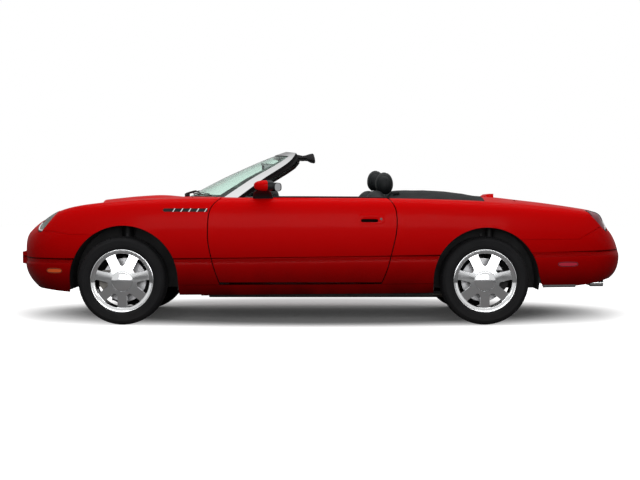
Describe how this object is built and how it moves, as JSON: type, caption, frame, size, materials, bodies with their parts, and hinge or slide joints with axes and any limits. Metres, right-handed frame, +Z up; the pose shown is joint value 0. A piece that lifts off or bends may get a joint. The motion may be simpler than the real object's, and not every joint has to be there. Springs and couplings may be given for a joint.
{
  "type": "two-seat convertible car",
  "caption": "Rounded two-seat convertible car, roof stowed under a soft cover, with opening doors, hood and trunk, steered front wheels and rolling wheels.",
  "frame": {"origin": "on the ground, halfway along the car and on its centre plane", "axes": "+X to the tail, +Y to the car's right-hand side, +Z up; the nose points to -X"},
  "size_m": [4.7142, 2.096, 1.322],
  "materials": {
    "paint": "clear-coated red",
    "underbody": "matt dark primer",
    "bright_metal": "polished",
    "tinted_glass": "green tint",
    "dash_plastic": "grained charcoal",
    "seat_leather": "grained charcoal",
    "cover_cloth": "coated black cloth",
    "trim_cloth": "flat cloth",
    "lamp_clear": "clear lens",
    "lamp_red": "red lens",
    "lamp_amber": "amber lens",
    "exhaust_steel": "dull steel",
    "cast_block": "rough cast",
    "black_steel": "matt black",
    "mirror_glass": "bright",
    "bright_alloy": "bright plated",
    "cast_alloy": "as cast",
    "tyre_rubber": "matt",
    "brake_iron": "machined"
  },
  "bodies": {
    "root": {"floor_pan": "underbody", "bulkheads": "underbody", "front_structure": "underbody", "rear_structure": "underbody", "front_bumper": "paint", "rear_bumper": "paint", "fenders": "paint", "fender_vents": "bright_metal", "quarters": "paint", "sills": "paint", "cowl": "paint", "rear_deck": "paint", "windshield_frame": "bright_metal", "windshield": "tinted_glass", "dashboard": "dash_plastic", "seat_left": "seat_leather", "seat_right": "seat_leather", "boot_cover": "cover_cloth", "grille": "bright_metal", "headlamps": "lamp_clear", "tail_lamps": "lamp_red", "front_markers": "lamp_amber", "rear_markers": "lamp_red", "exhaust": "exhaust_steel", "engine": "cast_block", "front_suspension": "black_steel", "rear_suspension": "black_steel", "visors": "trim_cloth", "inside_mirror": "mirror_glass"},
    "door_left": {"door_left": "paint", "mirror_left": "paint"},
    "door_right": {"door_right": "paint", "mirror_right": "paint"},
    "hood": {"hood": "paint"},
    "trunk_lid": {"trunk_lid": "paint"},
    "steering_wheel": {"steering_wheel": "dash_plastic"},
    "steer_left": {"knuckle_left": "cast_alloy"},
    "steer_right": {"knuckle_right": "cast_alloy"},
    "wheel_front_left": {"rim_front_left": "bright_alloy", "tyre_front_left": "tyre_rubber", "disc_front_left": "brake_iron"},
    "wheel_front_right": {"rim_front_right": "bright_alloy", "tyre_front_right": "tyre_rubber", "disc_front_right": "brake_iron"},
    "wheel_rear_left": {"rim_rear_left": "bright_alloy", "tyre_rear_left": "tyre_rubber", "disc_rear_left": "brake_iron"},
    "wheel_rear_right": {"rim_rear_right": "bright_alloy", "tyre_rear_right": "tyre_rubber", "disc_rear_right": "brake_iron"}
  },
  "joints": [
    {"name": "hood_hinge", "type": "hinge", "parent": "root", "child": "hood", "pos_m": [-0.9784, 0, 0.95088], "axis": [0, 1, 0], "range_deg": [0, 50]},
    {"name": "trunk_hinge", "type": "hinge", "parent": "root", "child": "trunk_lid", "pos_m": [1.49462, 0, 0.92429], "axis": [0, -1, 0], "range_deg": [0, 60]},
    {"name": "door_left_hinge", "type": "hinge", "parent": "root", "child": "door_left", "pos_m": [-0.712, -0.878, 0.55], "axis": [0, 0, -1], "range_deg": [0, 60]},
    {"name": "door_right_hinge", "type": "hinge", "parent": "root", "child": "door_right", "pos_m": [-0.712, 0.878, 0.55], "axis": [0, 0, 1], "range_deg": [0, 60]},
    {"name": "steer_left", "type": "hinge", "parent": "root", "child": "steer_left", "pos_m": [-1.493, -0.7, 0.333], "axis": [0, 0, 1], "range_deg": [-35, 35]},
    {"name": "steer_right", "type": "hinge", "parent": "root", "child": "steer_right", "pos_m": [-1.493, 0.7, 0.333], "axis": [0, 0, 1], "range_deg": [-35, 35]},
    {"name": "steering_wheel_turn", "type": "hinge", "parent": "root", "child": "steering_wheel", "pos_m": [-0.345, -0.37, 0.845], "axis": [0.9063, 0, 0.4226], "range_deg": [-560, 560]},
    {"name": "wheel_front_left_roll", "type": "hinge", "parent": "steer_left", "child": "wheel_front_left", "pos_m": [-1.493, -0.7685, 0.333], "axis": [0, 1, 0], "continuous": true},
    {"name": "wheel_front_right_roll", "type": "hinge", "parent": "steer_right", "child": "wheel_front_right", "pos_m": [-1.493, 0.7685, 0.333], "axis": [0, 1, 0], "continuous": true},
    {"name": "wheel_rear_left_roll", "type": "hinge", "parent": "root", "child": "wheel_rear_left", "pos_m": [1.23, -0.7685, 0.333], "axis": [0, 1, 0], "continuous": true},
    {"name": "wheel_rear_right_roll", "type": "hinge", "parent": "root", "child": "wheel_rear_right", "pos_m": [1.23, 0.7685, 0.333], "axis": [0, 1, 0], "continuous": true}
  ],
  "couplings": [
    {"joint": "steer_right", "follows": "steer_left", "ratio": 1},
    {"joint": "steering_wheel_turn", "follows": "steer_left", "ratio": 16}
  ]
}
